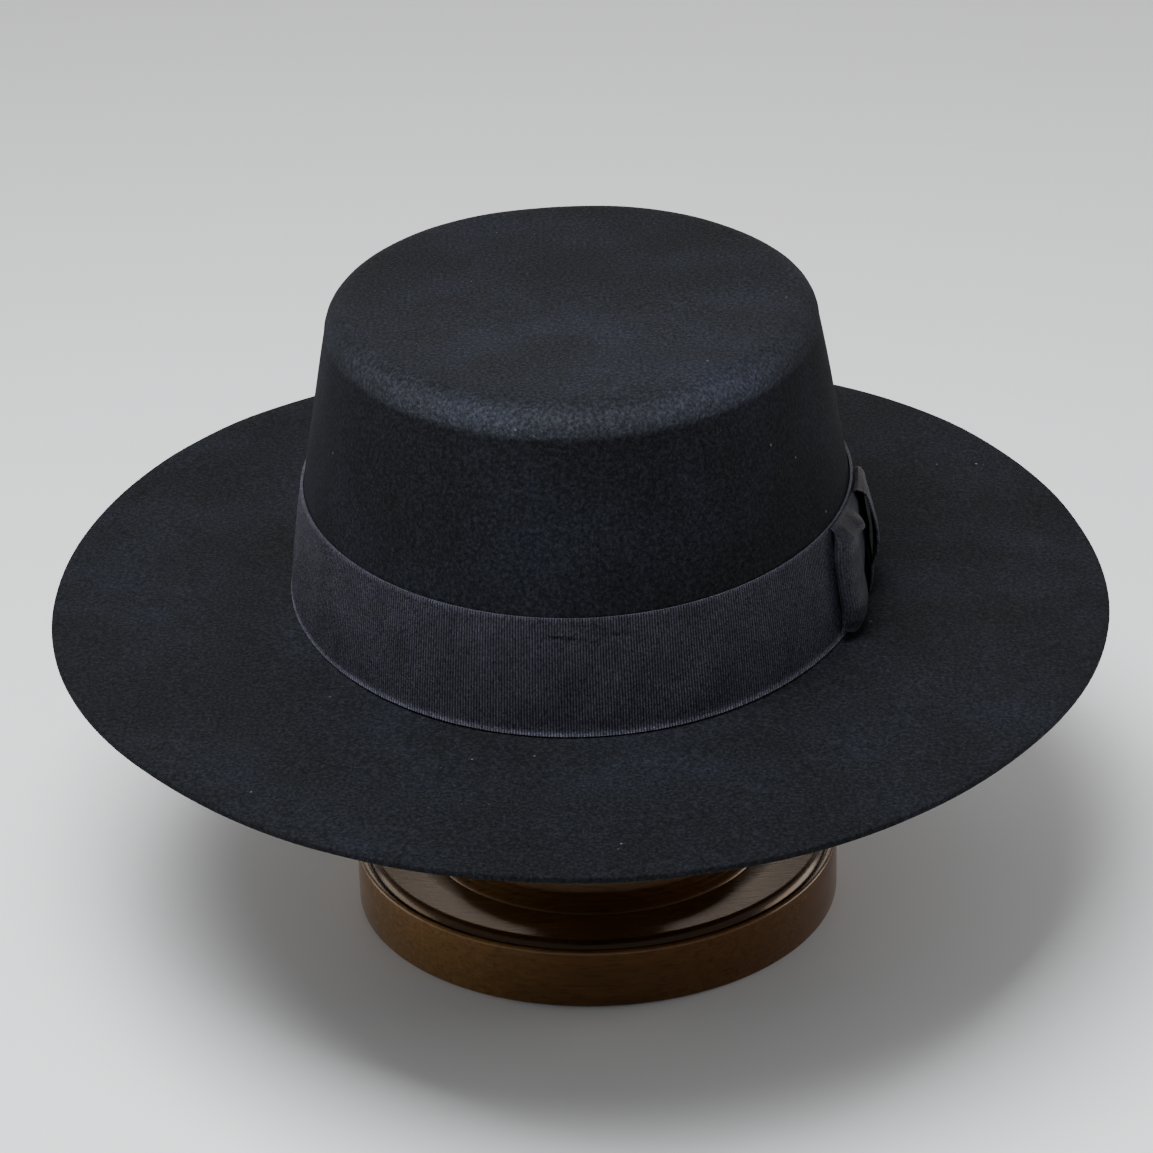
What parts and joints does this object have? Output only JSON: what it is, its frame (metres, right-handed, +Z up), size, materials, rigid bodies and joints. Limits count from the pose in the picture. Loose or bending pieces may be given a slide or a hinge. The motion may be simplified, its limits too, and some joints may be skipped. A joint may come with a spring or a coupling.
{
  "type": "cordobes hat on wooden stand",
  "caption": "Flat-topped felt cordobes hat with a wide flat brim, ribbed ribbon band and side bow, on a turned wooden hat stand.",
  "frame": {"origin": "under the middle of the hat's bounding box, on the surface that the stand rests on", "axes": "+Z up, -Y out over the brow, +X out over the wearer's left ear, where the bow is"},
  "size_m": [0.3204, 0.354, 0.1969],
  "materials": {
    "black_felt": "black fur felt with a short, slightly bluish nap",
    "black_ribbon": "black grosgrain ribbon with fine upright ribs",
    "brown_wood": "dark brown stained and varnished turned wood"
  },
  "bodies": {
    "root": {"felt_body": "black_felt", "ribbon_band": "black_ribbon", "bow_front_loop": "black_ribbon", "bow_back_tail": "black_ribbon", "bow_knot": "black_ribbon", "stand_base": "brown_wood", "stand_post": "brown_wood", "stand_rest": "brown_wood"}
  },
  "joints": []
}
